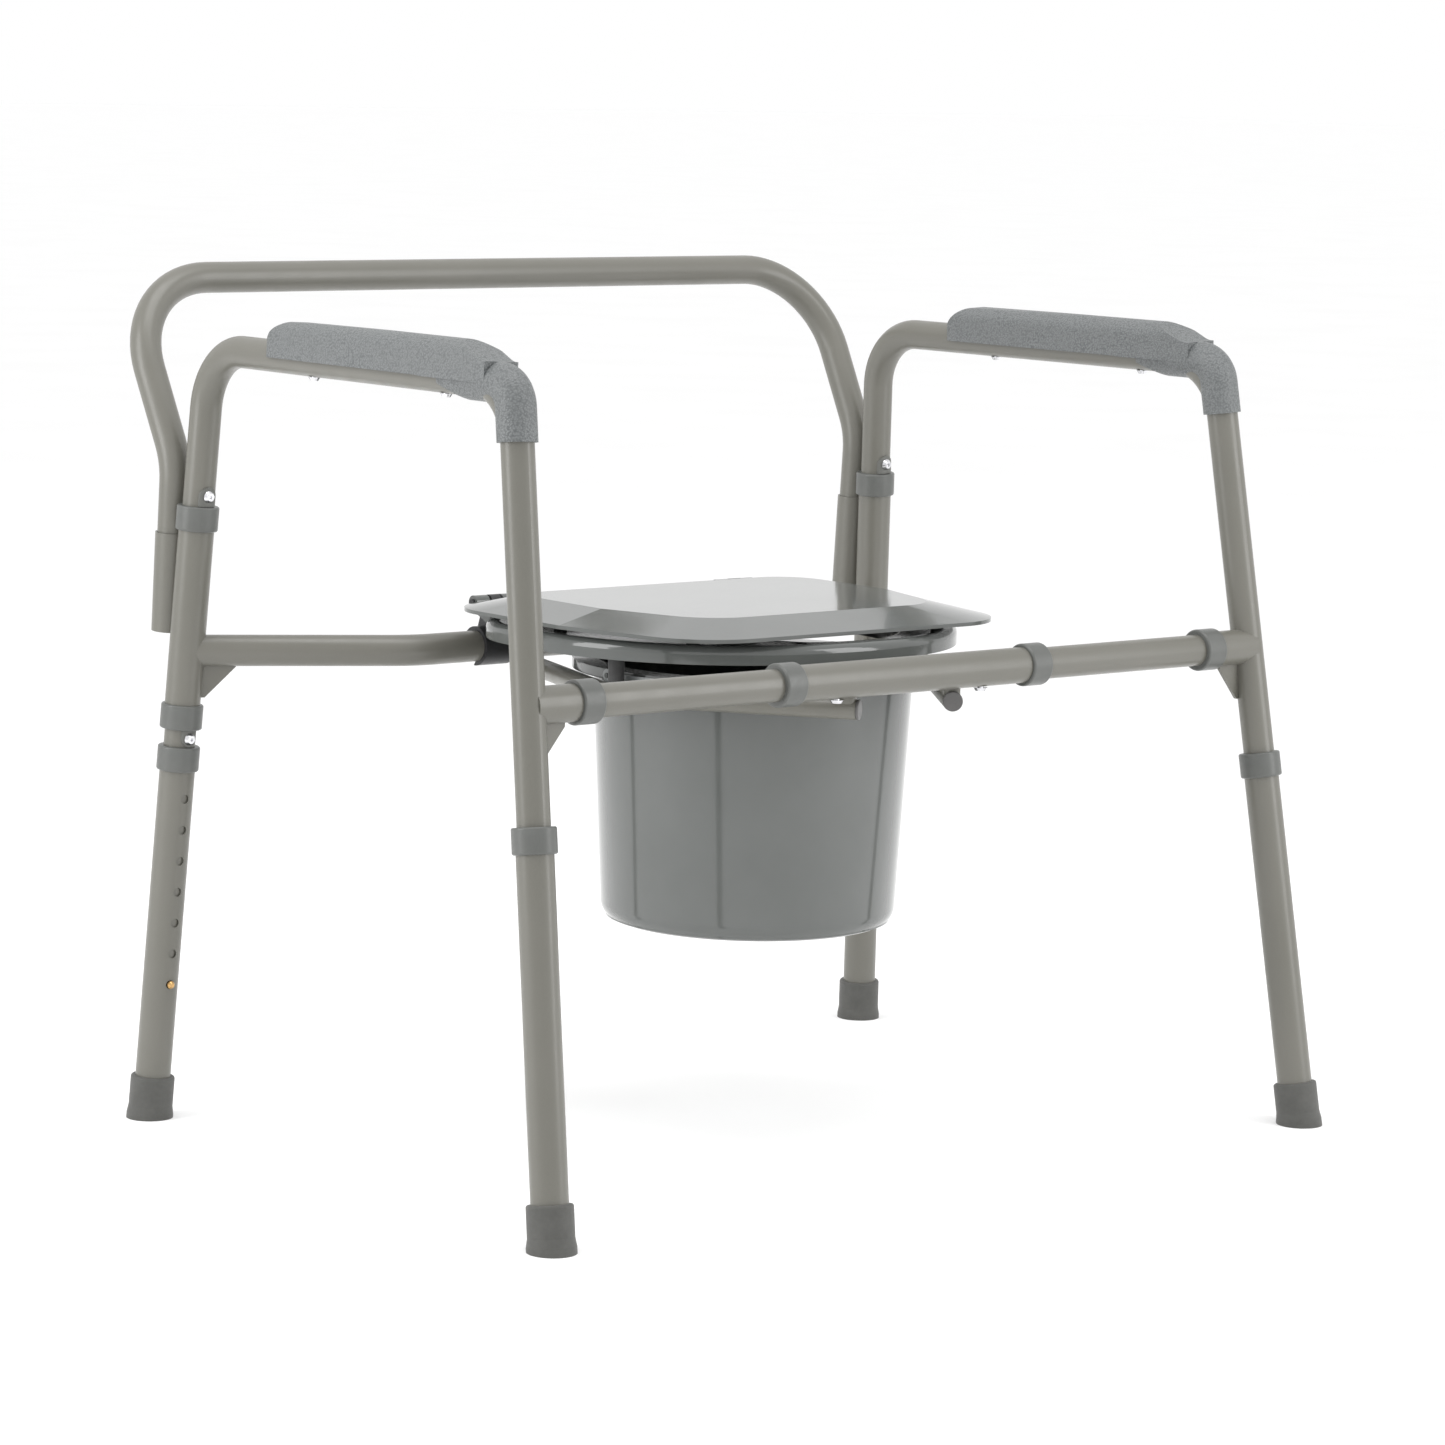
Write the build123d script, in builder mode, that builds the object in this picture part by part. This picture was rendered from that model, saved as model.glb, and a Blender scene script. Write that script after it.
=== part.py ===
"""Wide bedside commode chair: folding steel safety frame, seat, lid and pail."""

import math
import os

from build123d import *

# ---------------------------------------------------------------- dimensions
SHIFT = -33.5  # mid-depth of the legs behind the middle of the whole footprint

TUBE_R = 12.7  # 1 in round steel tube
TUBE_BORE = 11.5
SLEEVE_R = 14.3  # 1-1/8 in outer tube
SLEEVE_BORE = 13.0
BUSH_R = 17.0
BUSH_BORE = 12.76  # running fit on the 1 in tube
BUSH_LIP = 4.0

POST_X0, POST_Y0 = 383.2, 271.8 + SHIFT  # rear post axis at the floor
POST_X5, POST_Y5 = 360.6, 244.1 + SHIFT  # and 500 mm up
FRONT_X0, FRONT_Y0 = 392.0, -271.8 + SHIFT
FRONT_X5, FRONT_Y5 = 369.2, -191.2 + SHIFT

ARM_Z = 625.5
ARM_BEND = 50.0
ARM_FOOT_Z = 84.0

SLEEVE_Z0, SLEEVE_Z1 = 330.0, 490.0
UPPER_BUSH_Z1 = 500.0
LOWER_BUSH_Z0 = 320.0
BUSH_LEN = 20.0
XBAR_Z = 383.0
UPPER_SCREW_Z = 508.6
LOWER_SCREW_Z = 313.3

SOCKET_BACK = 30.0
SOCKET_Z0, SOCKET_Z1 = 396.0, 476.0
BACKBAR_Z0 = 402.0
BACKBAR_KINK_Z = 533.0
BACKBAR_TOP_Z = 675.0
BACKBAR_TOP_Y = 346.0 + SHIFT
BACKBAR_X = 366.5

REAR_BOW_X, REAR_BOW_Y = 206.0, 163.0 + SHIFT

FRONTBAR_Z = 393.0
STUB_END_X = 326.0
STUB_BUSH_X = 314.0
INNER_X0, INNER_X1 = 52.0, 356.0
CENTRE_HALF = 127.8
CENTRE_BUSH_X1 = 138.0
CROSS_SCREW_X = 75.0

RAIL_R = 8.0
RAIL_BORE = 6.8
RAIL_Z = 368.0
RAIL_FRONT = (50.0, -204.0 + SHIFT)
RAIL_CORNER = (164.3, -45.0 + SHIFT)
RAIL_REAR = (95.0, 163.0 + SHIFT)
RAIL_BEND = 55.0

EXT_TOP_Z = 295.8
EXT_BUSH_Z1 = 306.0
EXT_FOOT_Z = 14.0
HOLE_PITCH = 25.4
HOLE_COUNT = 7
HOLE_R = 3.65
BUTTON_Z = 112.5
BUTTON_R = 3.2
TIP_R = 17.8
TIP_FLARE_R = 18.9
TIP_TOP = 35.0

HINGE_Y = 160.0 + SHIFT
HINGE_Z = 419.0
HINGE_X = 128.0
SEAT_Z0, SEAT_Z1 = 398.0, 413.0
LID_Z0, LID_RIM, LID_Z1 = 418.0, 3.0, 432.0

PAIL_Y = -20.0 + SHIFT
PAIL_Z0 = 172.0
PAIL_RIM_Z = 376.2
PAIL_RIM_R = 146.5
PAIL_TOP_R = 129.0
PAIL_BOTTOM_R = 118.5

os.makedirs("parts", exist_ok=True)


# ---------------------------------------------------------------- helpers
def post(side, z):
    """Point on the rear post axis of one side at height z."""
    t = z / 500.0
    return Vector(side * (POST_X0 + (POST_X5 - POST_X0) * t), POST_Y0 + (POST_Y5 - POST_Y0) * t, z)


def front(side, z):
    """Point on the front leg axis of one side at height z."""
    t = z / 500.0
    return Vector(side * (FRONT_X0 + (FRONT_X5 - FRONT_X0) * t), FRONT_Y0 + (FRONT_Y5 - FRONT_Y0) * t, z)


def towards(start, end):
    """Plane at start whose normal points at end."""
    return Plane(origin=start, z_dir=end - start)


def square_to(axis, facing):
    """The direction nearest to facing that is square to axis."""
    axis = axis.normalized()
    return (facing - axis * facing.dot(axis)).normalized()


def add_rod(start, end, radius, mode=Mode.ADD):
    """Adds or cuts a round bar from start to end."""
    with BuildSketch(towards(start, end)) as disc:
        Circle(radius)
    extrude(disc.sketch, amount=(end - start).length, mode=mode)


def add_tube(start, end, outer, inner):
    """Adds a straight round tube from start to end."""
    with BuildSketch(towards(start, end)) as ring:
        Circle(outer)
        Circle(inner, mode=Mode.SUBTRACT)
    extrude(ring.sketch, amount=(end - start).length)


def save(part, name):
    """Writes one part to its own STEP file."""
    part.label = name
    export_step(part, "parts/" + name + ".step")


def arm_points(side):
    """Corners of the arm tube, from the rear foot over the arm to the front foot."""
    return [post(side, ARM_FOOT_Z), post(side, ARM_Z), front(side, ARM_Z), front(side, ARM_FOOT_Z)]


def arm_plane(side):
    """Plane of the arm frame: x runs forward along the arm, y runs up."""
    along = front(side, ARM_Z) - post(side, ARM_Z)
    down = post(side, 0) - post(side, ARM_Z)
    return Plane(origin=post(side, ARM_Z), x_dir=along, z_dir=down.cross(along))


SIDES = ((-1, "left"), (1, "right"))
LEGS = (
    (post, -1, "rear_left", Vector(0, -1, 0)),
    (post, 1, "rear_right", Vector(0, -1, 0)),
    (front, -1, "front_left", Vector(0, 1, 0)),
    (front, 1, "front_right", Vector(0, 1, 0)),
)
FORWARD = Vector(0, -1, 0)
POST_AXIS = {side: (post(side, 500) - post(side, 0)).normalized() for side, _ in SIDES}


SOCKET_X = post(1, 436).X
SOCKET_AXIS = Vector(0, POST_Y5 - POST_Y0, 500).normalized()


def socket(side, z):
    """Point on the back bar socket's axis: parallel on both sides, so that the bar can slide out."""
    return Vector(side * SOCKET_X, post(side, z).Y + SOCKET_BACK, z)


def leg_axis(line, side):
    """Unit vector up one leg."""
    return (line(side, 500) - line(side, 0)).normalized()


# ---------------------------------------------------------------- rear frame
with BuildPart() as rear_crossbar:
    left_end = post(-1, XBAR_Z)
    right_end = post(1, XBAR_Z)
    bow_left = Vector(-REAR_BOW_X, REAR_BOW_Y, XBAR_Z)
    bow_right = Vector(REAR_BOW_X, REAR_BOW_Y, XBAR_Z)
    with BuildLine() as bow_path:
        FilletPolyline(left_end, bow_left, bow_right, right_end, radius=70)
    with BuildSketch(towards(left_end, bow_left)):
        Circle(TUBE_R)
        Circle(TUBE_BORE, mode=Mode.SUBTRACT)
    sweep(path=bow_path.wire())
    for side, _ in SIDES:
        add_rod(post(side, 330), post(side, 436), SLEEVE_R, Mode.SUBTRACT)
    body = rear_crossbar.solids().sort_by(SortBy.VOLUME)[-1]
save(body, "rear_crossbar")

for side, name in SIDES:
    with BuildPart() as post_sleeve:
        add_tube(post(side, SLEEVE_Z0), post(side, SLEEVE_Z1), SLEEVE_R, SLEEVE_BORE)
    save(post_sleeve.part, "post_sleeve_" + name)

    # Plain open-topped tube welded behind the sleeve, with a stop disc at its foot.
    with BuildPart() as back_socket:
        foot = socket(side, SOCKET_Z0)
        mouth = socket(side, SOCKET_Z1)
        add_tube(foot, mouth, SLEEVE_R, SLEEVE_BORE)
        add_rod(foot, foot + SOCKET_AXIS * 3, SLEEVE_BORE)
        for low, high in ((402, 422), (450, 470)):
            add_rod((post(side, low) + socket(side, low)) * 0.5, (post(side, high) + socket(side, high)) * 0.5, 3.6)
        add_rod(post(side, 380), post(side, 490), SLEEVE_R, Mode.SUBTRACT)
        add_rod(foot + SOCKET_AXIS * 3, mouth + SOCKET_AXIS * 2, SLEEVE_BORE, Mode.SUBTRACT)
    save(back_socket.part, "back_socket_" + name)

# Flat triangular plates in the corners between sleeves and crossbar.
with BuildPart() as rear_gussets:
    for side, _ in SIDES:
        corner = post(side, XBAR_Z - 8)
        run = Vector(side * REAR_BOW_X, REAR_BOW_Y, XBAR_Z) - post(side, XBAR_Z)
        run = square_to(Vector(0, 0, 1), run)
        plane = Plane(origin=corner, x_dir=run, z_dir=run.cross(Vector(0, 0, 1)))
        with BuildSketch(plane):
            with BuildLine():
                Polyline((9, 0), (40, 0), (40, -5), (15, -30), (9, -30), close=True)
            make_face()
        extrude(amount=1.5, both=True)
        add_rod(post(side, 320), post(side, 400), SLEEVE_R, Mode.SUBTRACT)
        add_rod(post(side, XBAR_Z) + run * 5, post(side, XBAR_Z) + run * 80, TUBE_R, Mode.SUBTRACT)
save(rear_gussets.part, "rear_gussets")


def add_bush(open_end, lip_end, cup_r, hole_r):
    """Adds a moulded bush: a cup over a tube end with a lip that bears on the inner tube."""
    axis = (lip_end - open_end).normalized()
    add_rod(open_end, lip_end, BUSH_R)
    add_rod(open_end, lip_end, hole_r, Mode.SUBTRACT)
    add_rod(open_end, lip_end - axis * 10, cup_r, Mode.SUBTRACT)


def round_bush_edges(bush, radius):
    """Rounds the outer rims of a bush."""
    rims = [e for e in bush.edges().filter_by(GeomType.CIRCLE) if abs(e.radius - BUSH_R) < 0.01]
    fillet(rims, radius)


with BuildPart() as post_bushes_upper:
    for side, _ in SIDES:
        add_bush(post(side, UPPER_BUSH_Z1 - BUSH_LEN), post(side, UPPER_BUSH_Z1), SLEEVE_R + 0.01, BUSH_BORE)
    round_bush_edges(post_bushes_upper, 1.6)
save(post_bushes_upper.part, "post_bushes_upper")

with BuildPart() as post_bushes_lower:
    for side, _ in SIDES:
        add_bush(post(side, LOWER_BUSH_Z0 + BUSH_LEN), post(side, LOWER_BUSH_Z0), SLEEVE_R + 0.01, BUSH_BORE)
    round_bush_edges(post_bushes_lower, 1.6)
save(post_bushes_lower.part, "post_bushes_lower")

# ---------------------------------------------------------------- front crossbar
BAR_Y = front(1, FRONTBAR_Z).Y


def bar(x, dz=0.0):
    """Point on the front crossbar axis."""
    return Vector(x, BAR_Y, FRONTBAR_Z + dz)


with BuildPart() as crossbar_centre:
    add_tube(bar(-CENTRE_HALF), bar(CENTRE_HALF), SLEEVE_R, SLEEVE_BORE)
    for side, _ in SIDES:
        x = side * CROSS_SCREW_X
        add_rod(bar(x, -20), bar(x, 0), 2.6, Mode.SUBTRACT)
save(crossbar_centre.part, "crossbar_centre_tube")

for side, name in SIDES:
    with BuildPart() as crossbar_inner:
        add_tube(bar(side * INNER_X0), bar(side * INNER_X1), TUBE_R, TUBE_BORE)
        add_rod(bar(side * CROSS_SCREW_X, -20), bar(side * CROSS_SCREW_X, 0), 2.6, Mode.SUBTRACT)
    save(crossbar_inner.part, "crossbar_inner_tube_" + name)

with BuildPart() as centre_bushes:
    for side, _ in SIDES:
        add_bush(bar(side * (CENTRE_BUSH_X1 - BUSH_LEN)), bar(side * CENTRE_BUSH_X1), SLEEVE_R + 0.01, TUBE_R + 0.02)
    round_bush_edges(centre_bushes, 1.6)
save(centre_bushes.part, "crossbar_centre_bushes")


def add_button_screw(seat, inward, length, head_r=4.9, head_h=2.7, shank_r=2.4):
    """Adds a round-headed screw with a hexagon socket: seat is the point under its head."""
    out = seat - inward * head_h
    with BuildSketch(Plane(origin=seat, z_dir=inward * -1)) as head:
        Circle(head_r)
    extrude(head.sketch, amount=head_h, taper=32)
    add_rod(seat, seat + inward * length, shank_r)
    with BuildSketch(Plane(origin=out + inward * 1.5, z_dir=inward * -1)) as key:
        RegularPolygon(1.5, 6)
    extrude(key.sketch, amount=3, mode=Mode.SUBTRACT)


with BuildPart() as crossbar_screws:
    for side, _ in SIDES:
        add_button_screw(bar(side * CROSS_SCREW_X, -SLEEVE_R - 0.6), Vector(0, 0, 1), 8.0, head_r=5.8, head_h=2.6)
save(crossbar_screws.part, "crossbar_screws")

# ---------------------------------------------------------------- pail rails
def rail_corner(side, xy):
    """Point of a pail rail's centreline."""
    return Vector(side * xy[0], xy[1], RAIL_Z)


for side, name in SIDES:
    with BuildPart() as pail_rail:
        front_end = rail_corner(side, RAIL_FRONT)
        corner = rail_corner(side, RAIL_CORNER)
        rear_end = rail_corner(side, RAIL_REAR)
        with BuildLine() as rail_path:
            FilletPolyline(front_end, corner, rear_end, radius=RAIL_BEND)
        with BuildSketch(towards(front_end, corner)):
            Circle(RAIL_R)
            Circle(RAIL_BORE, mode=Mode.SUBTRACT)
        sweep(path=rail_path.wire())
        # The rear end is coped to the underside of the rear crossbar.
        low = Vector(side * 30, REAR_BOW_Y, XBAR_Z)
        high = Vector(side * 190, REAR_BOW_Y, XBAR_Z)
        add_rod(low, high, TUBE_R, Mode.SUBTRACT)
        rail_body = pail_rail.solids().sort_by(SortBy.VOLUME)[-1]
    save(rail_body, "pail_rail_" + name)

with BuildPart() as rail_caps:
    for side, _ in SIDES:
        front_end = rail_corner(side, RAIL_FRONT)
        inward = (rail_corner(side, RAIL_CORNER) - front_end).normalized()
        add_rod(front_end, front_end - inward * 2.5, RAIL_R)
        add_rod(front_end, front_end + inward * 9, RAIL_BORE - 0.05)
    rims = [e for e in rail_caps.edges().filter_by(GeomType.CIRCLE) if abs(e.radius - RAIL_R) < 0.01]
    fillet(rims, 1.0)
save(rail_caps.part, "rail_end_caps")

with BuildPart() as rail_saddles:
    for side, _ in SIDES:
        front_end = rail_corner(side, RAIL_FRONT)
        inward = (rail_corner(side, RAIL_CORNER) - front_end).normalized()
        middle = front_end + inward * 9
        with BuildSketch(Plane(origin=Vector(middle.X, middle.Y, RAIL_Z + 2), x_dir=inward, z_dir=(0, 0, 1))):
            RectangleRounded(16, 13, 4)
        extrude(amount=14)
        add_rod(front_end - inward * 10, front_end + inward * 60, RAIL_R, Mode.SUBTRACT)
        add_rod(bar(side * 10), bar(side * 120), SLEEVE_R, Mode.SUBTRACT)
save(rail_saddles.part, "rail_saddles")

# ---------------------------------------------------------------- arm frames
def add_saddle(side, z, line, flip, edge, round_r):
    """A D-shaped washer curved to the tube at height z, its straight edge at the bush."""
    axis = leg_axis(line, side)
    face = square_to(axis, FORWARD)
    centre = line(side, z)
    up = axis * flip
    plane = Plane(origin=centre, x_dir=axis.cross(face), z_dir=face)
    sign = 1 if plane.y_dir.dot(up) > 0 else -1
    with BuildPart(mode=Mode.PRIVATE) as shape:
        with BuildSketch(plane):
            Circle(round_r)
            with Locations((0, -edge / 2 * sign)):
                Rectangle(2 * round_r, edge)
        extrude(amount=20)
        add_rod(centre - axis * 20, centre + axis * 20, TUBE_R + 1.6, Mode.INTERSECT)
        add_rod(centre - axis * 20, centre + axis * 20, TUBE_R + 0.02, Mode.SUBTRACT)
        add_rod(centre, centre + face * 20, 2.6, Mode.SUBTRACT)
    return shape.part


def pad_screw_points(side):
    """The two screw seats under an arm, as a point on the tube axis and the upward direction."""
    plane = arm_plane(side)
    return [(plane.from_local_coords((u, 0, 0)), plane.y_dir) for u in (148.0, 323.0)]


def pad_prism(plane, half):
    """Side outline of the arm pad, as a thick plate in the plane of the arm."""
    with BuildPart(mode=Mode.PRIVATE) as prism:
        with BuildSketch(plane):
            with BuildLine():
                Polyline(
                    (96, -0.5), (96, 8), (118, 28.2), (346, 30.5), (384, 15.3), (470, 15.3), (470, -35.5),
                    (391, -45), (381, -32), (357, -15), (322, -2), (305, -0.5), close=True,
                )
            make_face()
            fillet(vertices().sort_by(Axis.X)[2], 18)
            fillet([v for v in vertices() if abs(v.X - 346) < 0.1], 30)
            fillet([v for v in vertices() if abs(v.X - 384) < 0.1], 20)
            fillet([v for v in vertices() if abs(v.X - 357) < 0.1], 25)
            fillet([v for v in vertices() if abs(v.X - 381) < 0.1], 20)
        extrude(amount=half, both=True)
    return prism.part


def pad_plan(plane, height):
    """Outline of the arm pad from above, as a thick plate square to the plane of the arm."""
    flat = Plane(origin=plane.origin, x_dir=plane.x_dir, z_dir=plane.y_dir)
    with BuildPart(mode=Mode.PRIVATE) as plan:
        with BuildSketch(flat):
            with BuildLine():
                Polyline(
                    (96, -17.5), (352, -17.5), (386, -15.4), (470, -15.4),
                    (470, 15.4), (386, 15.4), (352, 17.5), (96, 17.5), close=True,
                )
            make_face()
            fillet(vertices().group_by(Axis.X)[0], 14)
            fillet([v for v in vertices() if abs(v.X - 352) < 0.1], 40)
        extrude(amount=height, both=True)
    return plan.part


for side, name in SIDES:
    points = arm_points(side)
    plane = arm_plane(side)
    with BuildPart() as arm_tube:
        with BuildLine() as arm_path:
            FilletPolyline(*points, radius=ARM_BEND)
        with BuildSketch(towards(points[0], points[1])):
            Circle(TUBE_R)
            Circle(TUBE_BORE, mode=Mode.SUBTRACT)
        sweep(path=arm_path.wire())
        for line, leg_side, _, facing in LEGS:
            if leg_side == side:
                axis = leg_axis(line, side)
                out = square_to(axis, facing)
                spot = line(side, BUTTON_Z)
                add_rod(spot, spot + out * 30, BUTTON_R + 0.1, Mode.SUBTRACT)
        for z in (UPPER_SCREW_Z, LOWER_SCREW_Z):
            face = square_to(POST_AXIS[side], FORWARD)
            add_rod(post(side, z), post(side, z) + face * 30, 2.5, Mode.SUBTRACT)
        for spot, up in pad_screw_points(side):
            add_rod(spot - up * 20, spot + up * 20, 2.5, Mode.SUBTRACT)
    save(arm_tube.part, "arm_tube_" + name)

    with BuildPart() as stub:
        add_tube(front(side, FRONTBAR_Z), bar(side * STUB_END_X), SLEEVE_R, SLEEVE_BORE)
        # Corner plate below the stub, following the leg.
        with BuildSketch(Plane.XZ.offset(-BAR_Y + 1.5)):
            with BuildLine():
                inner = front(side, FRONTBAR_Z)
                low = front(side, 350)
                Polyline(
                    (inner.X, FRONTBAR_Z - 10), (inner.X - side * 33, FRONTBAR_Z - 10),
                    (inner.X - side * 33, FRONTBAR_Z - 17), (low.X - side * 14, 350), (low.X, 350), close=True,
                )
            make_face()
        extrude(amount=-3)
        add_rod(front(side, 320), front(side, 450), TUBE_R, Mode.SUBTRACT)
        add_rod(bar(side * 300), bar(side * 362), SLEEVE_BORE, Mode.SUBTRACT)
        stub_body = stub.solids().sort_by(SortBy.VOLUME)[-1]
    save(stub_body, "crossbar_stub_" + name)

    with BuildPart() as stub_bush:
        add_bush(bar(side * (STUB_BUSH_X + BUSH_LEN)), bar(side * STUB_BUSH_X), SLEEVE_R + 0.01, BUSH_BORE)
        round_bush_edges(stub_bush, 1.6)
    save(stub_bush.part, "crossbar_stub_bush_" + name)

    upper = add_saddle(side, UPPER_SCREW_Z, post, 1, 8.2, 7.6)
    lower = add_saddle(side, LOWER_SCREW_Z, post, -1, 6.4, 6.7)
    with BuildPart() as saddles:
        add(upper)
        add(lower)
    save(saddles.part, "saddle_washers_" + name)

    with BuildPart() as stop_screws:
        for z in (UPPER_SCREW_Z, LOWER_SCREW_Z):
            face = square_to(POST_AXIS[side], FORWARD)
            add_button_screw(post(side, z) + face * (TUBE_R + 1.7), face * -1, 9.0)
    save(stop_screws.part, "post_stop_screws_" + name)

    # Moulded arm pad: a crowned rest on the tube that closes round the front bend.
    prism = pad_prism(plane, 24)
    plan = pad_plan(plane, 80)
    with BuildPart() as arm_pad:
        along = plane.x_dir
        start = plane.from_local_coords((90, 0, 0))
        with BuildSketch(Plane(origin=start, x_dir=plane.z_dir * -1, z_dir=along)):
            with BuildLine():
                Polyline((-17.5, -1), (17.5, -1), (17.5, 22), (0, 35), (-17.5, 22), close=True)
            make_face()
            fillet(vertices().group_by(Axis.Y)[-1], 22)
            fillet(vertices().group_by(Axis.Y)[1], 7)
        extrude(amount=300)
        with BuildLine() as wrap_path:
            FilletPolyline(
                plane.from_local_coords((330, 0, 0)), front(side, ARM_Z), front(side, ARM_Z - 60), radius=20
            )
        with BuildSketch(Plane(origin=plane.from_local_coords((330, 0, 0)), z_dir=along)):
            Circle(15.4)
        sweep(path=wrap_path.wire())
        add(prism, mode=Mode.INTERSECT)
        add(plan, mode=Mode.INTERSECT)
        with BuildLine() as groove_path:
            FilletPolyline(
                plane.from_local_coords((60, 0, 0)), front(side, ARM_Z), front(side, ARM_Z - 80), radius=ARM_BEND
            )
        with BuildSketch(Plane(origin=plane.from_local_coords((60, 0, 0)), z_dir=along)):
            Circle(TUBE_R + 0.03)
        sweep(path=groove_path.wire(), mode=Mode.SUBTRACT)
        for spot, up in pad_screw_points(side):
            add_rod(spot, spot + up * 23.5, 2.45, Mode.SUBTRACT)
    save(arm_pad.part, "arm_pad_" + name)

    with BuildPart() as pad_screws:
        for spot, up in pad_screw_points(side):
            add_button_screw(spot - up * (TUBE_R + 0.1), up, 35.5)
    save(pad_screws.part, "pad_screws_" + name)

# ---------------------------------------------------------------- adjustable legs
for line, side, name, facing in LEGS:
    axis = leg_axis(line, side)
    out = square_to(axis, facing)
    with BuildPart() as extension:
        add_tube(line(side, EXT_FOOT_Z), line(side, EXT_TOP_Z), SLEEVE_R, SLEEVE_BORE)
        for i in range(HOLE_COUNT):
            spot = line(side, BUTTON_Z) + axis * (HOLE_PITCH * i)
            add_rod(spot, spot + out * 30, HOLE_R, Mode.SUBTRACT)
    save(extension.part, "leg_extension_" + name)

    with BuildPart() as extension_bush:
        add_bush(line(side, EXT_BUSH_Z1 - BUSH_LEN), line(side, EXT_BUSH_Z1), SLEEVE_R + 0.01, BUSH_BORE)
        round_bush_edges(extension_bush, 1.6)
    save(extension_bush.part, "leg_bush_" + name)

    # Rubber tip: thick-walled cup with a flared, flat-cut sole.
    with BuildPart() as tip:
        with BuildSketch(towards(line(side, -8), line(side, 500))):
            Circle(TIP_FLARE_R)
        extrude(amount=12)
        with BuildSketch(towards(line(side, 3.5), line(side, 500))):
            Circle(TIP_FLARE_R)
        extrude(amount=7, taper=8.9)
        with BuildSketch(towards(line(side, 4), line(side, 500))):
            Circle(TIP_R)
        extrude(amount=TIP_TOP - 4)
        tops = tip.edges().filter_by(GeomType.CIRCLE).sort_by(Axis.Z)
        fillet(tops[-1], 2.0)
        add_rod(line(side, EXT_FOOT_Z), line(side, 60), SLEEVE_R + 0.01, Mode.SUBTRACT)
        with BuildSketch(Plane.XY):
            with Locations((side * 390, 0)):
                Rectangle(200, 900)
        extrude(amount=-40, mode=Mode.SUBTRACT)
    save(tip.part, "leg_tip_" + name)

    # Snap button on a bent leaf inside the tube.
    with BuildPart() as button:
        spot = line(side, BUTTON_Z)
        add_rod(spot + out * 7.0, spot + out * (SLEEVE_R + 1.6), BUTTON_R)
        with BuildSketch(Plane(origin=spot + out * (SLEEVE_R + 1.6), z_dir=out)):
            Circle(BUTTON_R)
        extrude(amount=1.8, taper=38)
        with BuildSketch(Plane(origin=spot + out * 6.2, x_dir=axis, z_dir=out)):
            with Locations((-10, 0)):
                RectangleRounded(32, 8, 2)
        extrude(amount=0.8)
    save(button.part, "snap_button_" + name)

# ---------------------------------------------------------------- back bar
with BuildPart() as back_bar:
    ends = []
    for side, _ in SIDES:
        ends.append((socket(side, BACKBAR_Z0), socket(side, BACKBAR_KINK_Z)))
    top_left = Vector(-BACKBAR_X, BACKBAR_TOP_Y, BACKBAR_TOP_Z)
    top_right = Vector(BACKBAR_X, BACKBAR_TOP_Y, BACKBAR_TOP_Z)
    with BuildLine() as bar_path:
        FilletPolyline(
            ends[0][0], ends[0][1], top_left, top_right, ends[1][1], ends[1][0],
            radius=(60, 78, 78, 60),
        )
    with BuildSketch(towards(ends[0][0], ends[0][1])):
        Circle(TUBE_R)
        Circle(TUBE_BORE, mode=Mode.SUBTRACT)
    sweep(path=bar_path.wire())
save(back_bar.part, "back_bar")

# ---------------------------------------------------------------- seat hinge clips
for side, name in SIDES:
    with BuildPart() as clip:
        middle = Vector(side * HINGE_X, REAR_BOW_Y, XBAR_Z)
        wide = Vector(15, 0, 0)
        add_rod(middle - wide, middle + wide, TUBE_R + 3.4)
        # Ear that carries the hinge pin, rising from the ring.
        with BuildSketch(Plane.YZ.offset(side * HINGE_X - 5)):
            with BuildLine():
                Polyline(
                    (REAR_BOW_Y - 13, XBAR_Z + 6), (REAR_BOW_Y + 13, XBAR_Z + 6),
                    (HINGE_Y + 6.0, HINGE_Z), (HINGE_Y - 6.0, HINGE_Z), close=True,
                )
            make_face()
        extrude(amount=10)
        with BuildSketch(Plane.YZ.offset(side * HINGE_X - 5)):
            with Locations((HINGE_Y, HINGE_Z)):
                Circle(6.0)
        extrude(amount=10)
        pin = Vector(side * HINGE_X, HINGE_Y, HINGE_Z)
        add_rod(pin - Vector(22, 0, 0), pin + Vector(22, 0, 0), 3.0)
        add_rod(middle - wide * 2, middle + wide * 2, TUBE_R + 0.02, Mode.SUBTRACT)
        # Snap-on mouth and the slot above it.
        with BuildSketch(Plane.YZ.offset(side * HINGE_X - 20)):
            with Locations((REAR_BOW_Y + 8, XBAR_Z - 14)):
                Rectangle(13, 16, rotation=35)
        extrude(amount=40, mode=Mode.SUBTRACT)
    save(clip.part, "seat_clip_" + name)


# ---------------------------------------------------------------- seat and lid
def seat_outline(grow=0.0):
    """Rounded seat outline: straight back, full round front."""
    a = 190.0 + grow
    rear = 138.0 + SHIFT + grow
    nose = -160.0 + SHIFT - grow
    mid = 0.0 + SHIFT
    with BuildLine() as outline:
        Line((-118 - grow, rear), (118 + grow, rear))
        Spline((118 + grow, rear), (176 + grow, rear - 34), (a, mid + 25), tangents=((1, 0), (0, -1)))
        Spline((a, mid + 25), (148 + 0.8 * grow, mid - 100 - 0.7 * grow), (0, nose), tangents=((0, -1), (-1, 0)))
        Spline((0, nose), (-148 - 0.8 * grow, mid - 100 - 0.7 * grow), (-a, mid + 25), tangents=((-1, 0), (0, 1)))
        Spline((-a, mid + 25), (-176 - grow, rear - 34), (-118 - grow, rear), tangents=((0, 1), (1, 0)))
    make_face(outline.edges())


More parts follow.
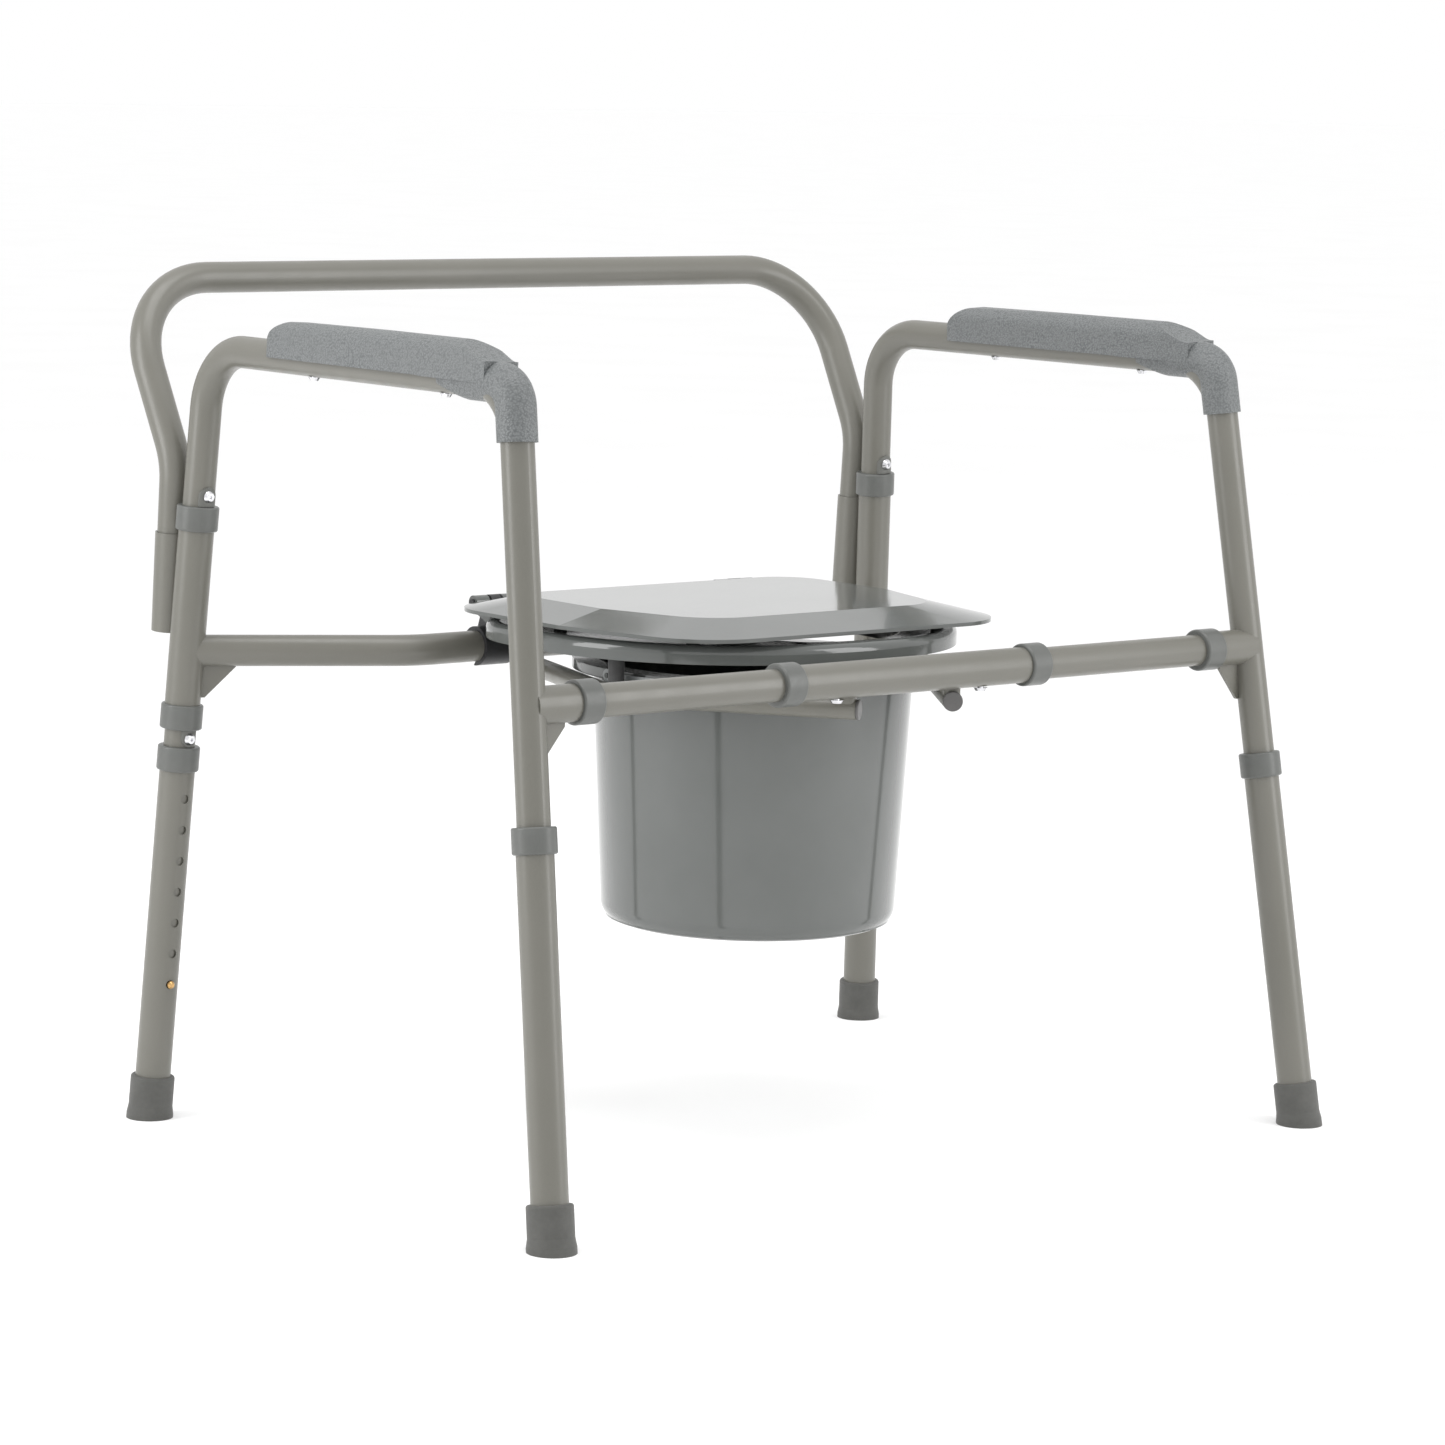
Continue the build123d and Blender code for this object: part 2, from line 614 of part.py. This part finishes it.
with BuildPart() as seat_ring:
    with BuildSketch(Plane.XY.offset(SEAT_Z0)):
        seat_outline()
    extrude(amount=SEAT_Z1 - SEAT_Z0)
    rim = seat_ring.faces().sort_by(Axis.Z)[-1].edges()
    fillet(rim, 7)
    with BuildSketch(Plane.XY.offset(SEAT_Z0 - 1)):
        with Locations((0, -18 + SHIFT)):
            Ellipse(108, 124)
    extrude(amount=30, mode=Mode.SUBTRACT)
    mouth = seat_ring.faces().sort_by(Axis.Z)[-1].edges().sort_by(SortBy.LENGTH)
    inner_rim = [e for e in mouth if e.length < 760]
    fillet(inner_rim, 5)
    # Moulded hollow underside.
    with BuildSketch(Plane.XY.offset(SEAT_Z0)):
        seat_outline(-3.5)
        with Locations((0, -18 + SHIFT)):
            Ellipse(111.5, 127.5, mode=Mode.SUBTRACT)
    extrude(amount=8.0, mode=Mode.SUBTRACT)
    # Ribs that the bumpers stand on, and the hinge arms.
    for side in (-1, 1):
        with BuildSketch(Plane.XY.offset(SEAT_Z0 + 1)):
            with Locations((side * 160, -43 + SHIFT)):
                Circle(10)
        extrude(amount=10)
        with BuildSketch(Plane.YZ.offset(side * 141.5 - 6.5)):
            with BuildLine():
                Polyline(
                    (104 + SHIFT, 402), (136 + SHIFT, 402), (HINGE_Y + 2, HINGE_Z - 5.5), (HINGE_Y, HINGE_Z + 5.9),
                    (HINGE_Y - 5.5, HINGE_Z), (149 + SHIFT, 414), (136 + SHIFT, 409), (104 + SHIFT, 409), close=True,
                )
            make_face()
        extrude(amount=13)
        knuckle = Vector(side * 141.5, HINGE_Y, HINGE_Z)
        add_rod(knuckle - Vector(6.5, 0, 0), knuckle + Vector(6.5, 0, 0), 6.0)
        add_rod(knuckle - Vector(12, 0, 0), knuckle + Vector(12, 0, 0), 3.06, Mode.SUBTRACT)
save(seat_ring.part, "seat_ring")

with BuildPart() as seat_bumpers:
    for side in (-1, 1):
        with BuildSketch(Plane.XY.offset(RAIL_Z + RAIL_R + 0.3)):
            with Locations((side * 160, -43 + SHIFT)):
                Circle(6.5)
        extrude(amount=SEAT_Z0 + 1 - RAIL_Z - RAIL_R - 0.3)
save(seat_bumpers.part, "seat_bumpers")


def lid_outline(inset=0.0):
    """Rounded trapezium outline of the lid, drawn in from its rim by inset."""
    half = 190.0 - inset
    rear = 150.0 + SHIFT - inset
    nose = -150.0 + SHIFT + inset
    with BuildLine() as outline:
        Polyline(
            (-half, rear), (half, rear), (half + 2, -10 + SHIFT), (half - 28, nose), (-half + 28, nose),
            (-half - 2, -10 + SHIFT), close=True,
        )
    make_face(outline.edges())
    corners = vertices().sort_by(Axis.Y)
    fillet(corners[:2], 62.0 - inset * 0.35)
    fillet(vertices().sort_by(Axis.Y)[-2:], 52.0 - inset * 0.35)


with BuildPart() as lid:
    with BuildSketch(Plane.XY.offset(LID_Z0)):
        lid_outline()
    extrude(amount=LID_RIM)
    with BuildSketch(Plane.XY.offset(LID_Z0 + LID_RIM)):
        lid_outline()
    with BuildSketch(Plane.XY.offset(LID_Z1)):
        lid_outline(42)
    loft()
    with BuildSketch(Plane.XY.offset(LID_Z0)):
        lid_outline(2.6)
    with BuildSketch(Plane.XY.offset(LID_Z1 - 3.0)):
        lid_outline(45)
    loft(mode=Mode.SUBTRACT)
    for side in (-1, 1):
        with BuildSketch(Plane.YZ.offset(side * 114.5 - 6.5)):
            with BuildLine():
                Polyline(
                    (128 + SHIFT, LID_Z0 + 1.5), (146 + SHIFT, LID_Z0 + 0.2), (HINGE_Y, HINGE_Z - 4.0), (HINGE_Y, HINGE_Z + 4.5),
                    (149 + SHIFT, LID_Z0 + 3.2), (128 + SHIFT, LID_Z0 + 6.0), close=True,
                )
            make_face()
        extrude(amount=13)
        knuckle = Vector(side * 114.5, HINGE_Y, HINGE_Z)
        add_rod(knuckle - Vector(6.5, 0, 0), knuckle + Vector(6.5, 0, 0), 6.0)
        add_rod(knuckle - Vector(12, 0, 0), knuckle + Vector(12, 0, 0), 3.06, Mode.SUBTRACT)
save(lid.part, "lid_panel")

with BuildPart() as lid_bumpers:
    for side in (-1, 1):
        for y in (-98, 70):
            with BuildSketch(Plane.XY.offset(SEAT_Z1 + 0.3)):
                with Locations((side * 128, y + SHIFT)):
                    Circle(5.5)
            extrude(amount=20)
    # Trimmed to the underside of the lid.
    with BuildSketch(Plane.XY.offset(LID_Z0)):
        lid_outline(2.6)
    with BuildSketch(Plane.XY.offset(LID_Z1 - 3.0)):
        lid_outline(45)
    hollow = loft(mode=Mode.PRIVATE)
    with BuildSketch(Plane.XY.offset(SEAT_Z1)):
        lid_outline(2.7)
    skirt = extrude(amount=LID_Z0 - SEAT_Z1, mode=Mode.PRIVATE)
    add(hollow.fuse(skirt), mode=Mode.INTERSECT)
save(lid_bumpers.part, "lid_bumpers")

# ---------------------------------------------------------------- pail
with BuildPart() as pail:
    with BuildSketch(Plane.XZ.offset(-PAIL_Y)):
        with BuildLine():
            Polyline(
                (0, PAIL_Z0), (PAIL_BOTTOM_R, PAIL_Z0), (PAIL_TOP_R, PAIL_RIM_Z), (PAIL_RIM_R, PAIL_RIM_Z),
                (PAIL_RIM_R, PAIL_RIM_Z + 8), (PAIL_TOP_R - 2.5, PAIL_RIM_Z + 8),
                (PAIL_BOTTOM_R - 3.2, PAIL_Z0 + 3), (0, PAIL_Z0 + 3), close=True,
            )
        make_face()
        fillet(vertices().sort_by(Axis.Y)[:2].sort_by(Axis.X)[-1], 14)
    revolve(axis=Axis((0, PAIL_Y, 0), (0, 0, 1)))
    for side in (-1, 1):
        ear = Vector(side * (PAIL_RIM_R - 1), PAIL_Y, PAIL_RIM_Z + 4)
        add_rod(ear, ear + Vector(side * 6.5, 0, 0), 2.0)
save(pail.part, "pail")

with BuildPart() as bail:
    with BuildSketch(Plane.XY.offset(PAIL_RIM_Z + 1.5)):
        with Locations((0, PAIL_Y)):
            Circle(PAIL_RIM_R + 4.6)
            Circle(PAIL_RIM_R + 0.8, mode=Mode.SUBTRACT)
        with Locations((0, PAIL_Y + 100)):
            Rectangle(400, 200, mode=Mode.SUBTRACT)
    extrude(amount=5)
    for side in (-1, 1):
        ear = Vector(side * (PAIL_RIM_R + 0.8), PAIL_Y, PAIL_RIM_Z + 4)
        add_rod(ear, ear + Vector(side * 3.8, 0, 0), 5.0)
        add_rod(ear - Vector(side * 1, 0, 0), ear + Vector(side * 9, 0, 0), 2.1, Mode.SUBTRACT)
save(bail.part, "pail_handle")
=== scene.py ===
"""Studio scene of the wide commode chair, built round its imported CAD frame."""

import math

import bpy
from mathutils import Matrix, Vector


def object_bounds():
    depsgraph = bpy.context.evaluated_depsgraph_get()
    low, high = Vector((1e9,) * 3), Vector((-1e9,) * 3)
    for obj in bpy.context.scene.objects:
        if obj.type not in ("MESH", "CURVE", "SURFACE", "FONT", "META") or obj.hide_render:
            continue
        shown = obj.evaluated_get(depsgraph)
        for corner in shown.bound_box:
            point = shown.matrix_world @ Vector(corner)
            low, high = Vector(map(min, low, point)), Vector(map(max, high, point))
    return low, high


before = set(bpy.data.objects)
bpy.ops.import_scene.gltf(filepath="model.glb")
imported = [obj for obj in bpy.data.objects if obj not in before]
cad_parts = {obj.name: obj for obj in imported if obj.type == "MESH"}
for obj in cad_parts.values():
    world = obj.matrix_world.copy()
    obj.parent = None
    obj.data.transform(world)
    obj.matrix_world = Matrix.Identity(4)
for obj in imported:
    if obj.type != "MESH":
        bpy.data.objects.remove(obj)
cad_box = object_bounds()

# ---------------------------------------------------------------- camera
CAMERA_AT = Vector((-2.5984, -3.1155, 0.8851))
CAMERA_AZIMUTH = math.radians(-39.979)
CAMERA_ELEVATION = math.radians(7.847)
CAMERA_ROLL = math.radians(1.426)
CAMERA_LENS = 125.0
CAMERA_REACH = 60.0
SENSOR = 36.0


def make_camera():
    """The camera stands low and to the left of the front, a long lens turned a little clockwise."""
    data = bpy.data.cameras.new("camera")
    data.lens = CAMERA_LENS
    data.sensor_width = SENSOR
    data.clip_end = CAMERA_REACH
    az, el, roll = CAMERA_AZIMUTH, CAMERA_ELEVATION, CAMERA_ROLL
    level = Vector((math.cos(az), math.sin(az), 0.0))
    back = Vector((math.sin(az) * math.cos(el), -math.cos(az) * math.cos(el), math.sin(el)))
    upright = back.cross(level)
    right = level * math.cos(roll) + upright * math.sin(roll)
    up = upright * math.cos(roll) - level * math.sin(roll)
    camera = bpy.data.objects.new("camera", data)
    bpy.context.scene.collection.objects.link(camera)
    turn = Matrix((right, up, back)).transposed().to_4x4()
    camera.matrix_world = Matrix.Translation(CAMERA_AT) @ turn
    bpy.context.scene.camera = camera
    return level, Vector((back.x, back.y, 0.0)).normalized()


# ---------------------------------------------------------------- shader helpers
class Shader:
    """A node tree with one Principled shader, built up socket by socket."""

    def __init__(self, name):
        self.material = bpy.data.materials.new(name)
        self.material.use_nodes = True
        self.tree = self.material.node_tree
        self.tree.nodes.clear()
        self.surface = self.node("ShaderNodeBsdfPrincipled")
        output = self.node("ShaderNodeOutputMaterial")
        self.link(self.surface.outputs["BSDF"], output.inputs["Surface"])
        self.place = self.node("ShaderNodeTexCoord").outputs["Object"]

    def node(self, kind, **settings):
        made = self.tree.nodes.new(kind)
        for name, value in settings.items():
            setattr(made, name, value)
        return made

    def link(self, start, end):
        self.tree.links.new(start, end)

    def set(self, **values):
        """Constant values on the shader's own sockets, underscores for spaces."""
        for name, value in values.items():
            self.surface.inputs[name.replace("_", " ")].default_value = value

    def noise(self, scale, detail=2.0, rough=0.5, stretch=None):
        """Noise value over the object, scale in waves per metre."""
        made = self.node("ShaderNodeTexNoise")
        made.inputs["Scale"].default_value = scale
        made.inputs["Detail"].default_value = detail
        made.inputs["Roughness"].default_value = rough
        source = self.place
        if stretch:
            mapping = self.node("ShaderNodeMapping")
            mapping.inputs["Scale"].default_value = stretch
            self.link(self.place, mapping.inputs["Vector"])
            source = mapping.outputs["Vector"]
        self.link(source, made.inputs["Vector"])
        return made.outputs["Fac"]

    def cells(self, scale, smooth):
        """Rounded cells, scale in cells per metre."""
        made = self.node("ShaderNodeTexVoronoi", feature="SMOOTH_F1")
        made.inputs["Scale"].default_value = scale
        made.inputs["Smoothness"].default_value = smooth
        self.link(self.place, made.inputs["Vector"])
        return made.outputs["Distance"]

    def remap(self, value, low, high, to_low, to_high):
        """Moves a value from one range to another, kept inside it."""
        made = self.node("ShaderNodeMapRange")
        for name, number in (("From Min", low), ("From Max", high), ("To Min", to_low), ("To Max", to_high)):
            made.inputs[name].default_value = number
        self.link(value, made.inputs["Value"])
        return made.outputs["Result"]

    def math(self, operation, first, second):
        made = self.node("ShaderNodeMath", operation=operation)
        for socket, value in zip(made.inputs, (first, second)):
            if isinstance(value, float):
                socket.default_value = value
            else:
                self.link(value, socket)
        return made.outputs["Value"]

    def blend(self, factor, dark, light):
        """Colour between two colours, by factor."""
        made = self.node("ShaderNodeMix", data_type="RGBA")
        for socket, value in ((made.inputs[6], dark), (made.inputs[7], light)):
            if isinstance(value, tuple):
                socket.default_value = (*value, 1.0)
            else:
                self.link(value, socket)
        self.link(factor, made.inputs[0])
        return made.outputs[2]

    def colour(self, source):
        self.link(source, self.surface.inputs["Base Color"])

    def roughness(self, source):
        self.link(source, self.surface.inputs["Roughness"])

    def bump(self, height, distance, strength=1.0):
        """Adds a bump layer: height is a value, distance the relief in metres."""
        made = self.node("ShaderNodeBump")
        made.inputs["Strength"].default_value = strength
        made.inputs["Distance"].default_value = distance
        self.link(height, made.inputs["Height"])
        earlier = self.surface.inputs["Normal"].links
        if earlier:
            self.link(earlier[0].from_socket, made.inputs["Normal"])
        self.link(made.outputs["Normal"], self.surface.inputs["Normal"])


# ---------------------------------------------------------------- materials
def frame_paint():
    """Warm grey satin powder coat with its fine orange peel."""
    s = Shader("frame_paint")
    s.set(IOR=1.5, Specular_IOR_Level=0.5, Coat_Weight=0.25, Coat_Roughness=0.22)
    broad = s.noise(9.0, 3.0)
    fine = s.noise(1400.0, 2.0)
    tone = s.blend(s.remap(broad, 0.3, 0.7, 0.0, 1.0), (0.128, 0.125, 0.106), (0.141, 0.137, 0.118))
    s.colour(s.blend(s.remap(fine, 0.35, 0.75, 0.0, 0.28), tone, (0.160, 0.155, 0.135)))
    s.roughness(s.remap(s.noise(60.0, 4.0), 0.3, 0.7, 0.33, 0.43))
    s.bump(s.noise(650.0, 2.0), 0.00012, 0.55)
    s.bump(s.noise(38.0, 1.0), 0.0003, 0.12)
    return s.material


def moulded(name, dark, light, rough):
    """Satin moulded plastic with a spark-eroded grain and cloudy colour."""
    s = Shader(name)
    s.set(IOR=1.49, Specular_IOR_Level=0.5)
    clouds = s.noise(45.0, 4.0, 0.6)
    s.colour(s.blend(s.remap(clouds, 0.3, 0.7, 0.0, 1.0), dark, light))
    s.roughness(s.remap(s.noise(220.0, 3.0), 0.3, 0.7, rough - 0.05, rough + 0.06))
    s.bump(s.noise(900.0, 2.0, 0.6), 0.0001, 0.6)
    return s.material


def pebbled(name):
    """Arm pad plastic: a leather-like grain of small raised pebbles joined by fine valleys, with painted
    shade darkening the valleys.
    """
    s = Shader(name)
    s.set(IOR=1.5, Specular_IOR_Level=0.55)
    pebbles = s.cells(650.0, 0.35)
    worms = s.noise(900.0, 3.0, 0.6)
    relief = s.math("ADD", s.math("MULTIPLY", pebbles, -0.9), s.math("MULTIPLY", worms, 0.7))
    valley = s.remap(relief, -0.35, 0.15, 0.0, 1.0)
    # Colour follows the grain height: painted shade makes the valleys dark and the pebble tops light.
    tone = s.blend(valley, (0.085, 0.092, 0.094), (0.168, 0.177, 0.179))
    s.colour(s.blend(s.remap(s.noise(24.0, 3.0), 0.3, 0.7, 0.0, 0.5), tone, (0.135, 0.143, 0.143)))
    s.roughness(s.remap(valley, 0.0, 1.0, 0.5, 0.34))
    s.bump(relief, 0.0005, 0.9)
    return s.material


def glossy(name, dark, light, rough, wave):
    """Polished moulded plastic: faint flow clouds, a very slight waviness and hairline handling marks."""
    s = Shader(name)
    s.set(IOR=1.5, Specular_IOR_Level=0.5, Coat_Weight=0.35, Coat_Roughness=0.05)
    clouds = s.noise(14.0, 4.0, 0.55)
    s.colour(s.blend(s.remap(clouds, 0.3, 0.7, 0.0, 1.0), dark, light))
    marks = s.noise(30.0, 6.0, 0.7, (1.0, 9.0, 1.0))
    s.roughness(s.remap(marks, 0.35, 0.8, rough, rough + 0.07))
    s.bump(s.noise(7.0, 1.0), wave, 0.35)
    s.bump(s.noise(1600.0, 1.0), 0.00002, 0.4)
    return s.material


def rubber(name, dark, light):
    """Matte rubber with a fine grain and a dusty bloom."""
    s = Shader(name)
    s.set(IOR=1.52, Specular_IOR_Level=0.35, Sheen_Weight=0.12, Sheen_Roughness=0.5)
    clouds = s.noise(70.0, 4.0, 0.65)
    s.colour(s.blend(s.remap(clouds, 0.3, 0.7, 0.0, 1.0), dark, light))
    s.roughness(s.remap(s.noise(300.0, 3.0), 0.3, 0.7, 0.56, 0.7))
    s.bump(s.noise(1500.0, 3.0, 0.6), 0.00012, 0.6)
    return s.material


def metal(name, dark, light, rough):
    """Plated or bare metal with fine turning marks and slight tarnish."""
    s = Shader(name)
    s.set(Metallic=1.0)
    s.colour(s.blend(s.remap(s.noise(260.0, 4.0), 0.3, 0.7, 0.0, 1.0), dark, light))
    s.roughness(s.remap(s.noise(900.0, 3.0), 0.3, 0.7, rough, rough + 0.12))
    s.bump(s.noise(1800.0, 2.0, 0.5, (1.0, 1.0, 6.0)), 0.00002, 0.5)
    return s.material


def make_materials():
    """One material for each slot of the record."""
    return {
        "frame_paint": frame_paint(),
        "bush_plastic": moulded("bush_plastic", (0.098, 0.102, 0.096), (0.116, 0.120, 0.114), 0.36),
        "cap_plastic": moulded("cap_plastic", (0.092, 0.090, 0.088), (0.106, 0.103, 0.102), 0.38),
        "washer_plastic": moulded("washer_plastic", (0.110, 0.112, 0.102), (0.128, 0.130, 0.120), 0.36),
        "clip_plastic": moulded("clip_plastic", (0.018, 0.018, 0.019), (0.028, 0.028, 0.030), 0.4),
        "pad_plastic": pebbled("pad_plastic"),
        "rubber_tip": rubber("rubber_tip", (0.072, 0.072, 0.067), (0.088, 0.088, 0.082)),
        "rubber_bumper": rubber("rubber_bumper", (0.028, 0.028, 0.028), (0.04, 0.04, 0.04)),
        "seat_plastic": glossy("seat_plastic", (0.090, 0.096, 0.092), (0.101, 0.107, 0.103), 0.08, 0.0010),
        "lid_plastic": glossy("lid_plastic", (0.094, 0.100, 0.096), (0.105, 0.111, 0.107), 0.09, 0.0012),
        "pail_plastic": glossy("pail_plastic", (0.096, 0.102, 0.098), (0.107, 0.113, 0.109), 0.11, 0.0016),
        "handle_plastic": glossy("handle_plastic", (0.20, 0.21, 0.21), (0.24, 0.25, 0.25), 0.2, 0.0006),
        "screw_chrome": metal("screw_chrome", (0.60, 0.60, 0.62), (0.78, 0.78, 0.8), 0.12),
        "button_brass": metal("button_brass", (0.46, 0.27, 0.10), (0.66, 0.42, 0.18), 0.2),
    }


def slot_of(node):
    """The record's material slot of a CAD node, from its name."""
    rules = (
        ("leg_tip", "rubber_tip"), ("seat_bumpers", "rubber_bumper"), ("lid_bumpers", "rubber_bumper"),
        ("post_bushes", "bush_plastic"), ("crossbar_centre_bushes", "bush_plastic"),
        ("crossbar_stub_bush", "bush_plastic"), ("leg_bush", "bush_plastic"),
        ("rail_end_caps", "cap_plastic"), ("arm_pad", "pad_plastic"), ("saddle_washers", "washer_plastic"),
        ("crossbar_screws", "screw_chrome"), ("post_stop_screws", "screw_chrome"),
        ("pad_screws", "screw_chrome"),
        ("snap_button", "button_brass"), ("seat_clip", "clip_plastic"), ("seat_ring", "seat_plastic"),
        ("lid_panel", "lid_plastic"), ("pail_handle", "handle_plastic"), ("pail_rail", "frame_paint"),
        ("pail", "pail_plastic"),
    )
    return next((slot for start, slot in rules if node.startswith(start)), "frame_paint")


def dress_nodes(materials):
    """Gives every CAD node its material."""
    for name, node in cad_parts.items():
        node.data.materials.clear()
        node.data.materials.append(materials[slot_of(name)])


# ---------------------------------------------------------------- studio
# Soft lights: metres to the right of, towards the camera from and above the chair's middle, then
# width, height and watts.
SOFTBOXES = (
    ("key_left", (-2.0, 0.9, 0.9), 0.9, 2.0, 24),
    ("fill_right", (2.2, 0.7, 0.8), 0.8, 2.0, 19),
    ("overhead", (0.0, 0.3, 2.2), 1.8, 1.2, 20),
)
FLOOR_REACH = 40.0
FLOOR_GLOW = 0.1


def add_light(name, where, target, width, height, power):
    data = bpy.data.lights.new(name, "AREA")
    data.shape = "RECTANGLE"
    data.size = width
    data.size_y = height
    data.energy = power
    light = bpy.data.objects.new(name, data)
    bpy.context.scene.collection.objects.link(light)
    light.location = where
    light.rotation_mode = "QUATERNION"
    light.rotation_quaternion = (target - where).to_track_quat("-Z", "Y")


def make_studio(level, towards_camera):
    """White surroundings, two tall softboxes beside the camera, one overhead and a pale floor."""
    middle = (cad_box[0] + cad_box[1]) / 2
    for name, (aside, forward, height), width, tall, watts in SOFTBOXES:
        where = middle + level * aside + towards_camera * forward + Vector((0, 0, height))
        add_light(name, where, middle, width, tall, watts)
    world = bpy.data.worlds.new("studio")
    world.use_nodes = True
    world.node_tree.nodes["Background"].inputs["Color"].default_value = (1.0, 1.0, 1.0, 1.0)
    world.node_tree.nodes["Background"].inputs["Strength"].default_value = 1.0
    bpy.context.scene.world = world
    bpy.context.scene.view_settings.view_transform = "Standard"

    mesh = bpy.data.meshes.new("floor")
    corners = [(x * FLOOR_REACH, y * FLOOR_REACH, 0) for x, y in ((-1, -1), (1, -1), (1, 1), (-1, 1))]
    mesh.from_pydata(corners, [], [(0, 1, 2, 3)])
    floor = bpy.data.objects.new("floor", mesh)
    bpy.context.scene.collection.objects.link(floor)
    s = Shader("floor_paper")
    s.set(Specular_IOR_Level=0.2, Roughness=0.8)
    s.set(Emission_Color=(1.0, 1.0, 1.0, 1.0), Emission_Strength=FLOOR_GLOW)
    s.colour(s.blend(s.remap(s.noise(3.0, 3.0), 0.3, 0.7, 0.0, 1.0), (0.88, 0.88, 0.88), (0.9, 0.9, 0.9)))
    mesh.materials.append(s.material)


level, towards_camera = make_camera()
materials = make_materials()
dress_nodes(materials)
make_studio(level, towards_camera)
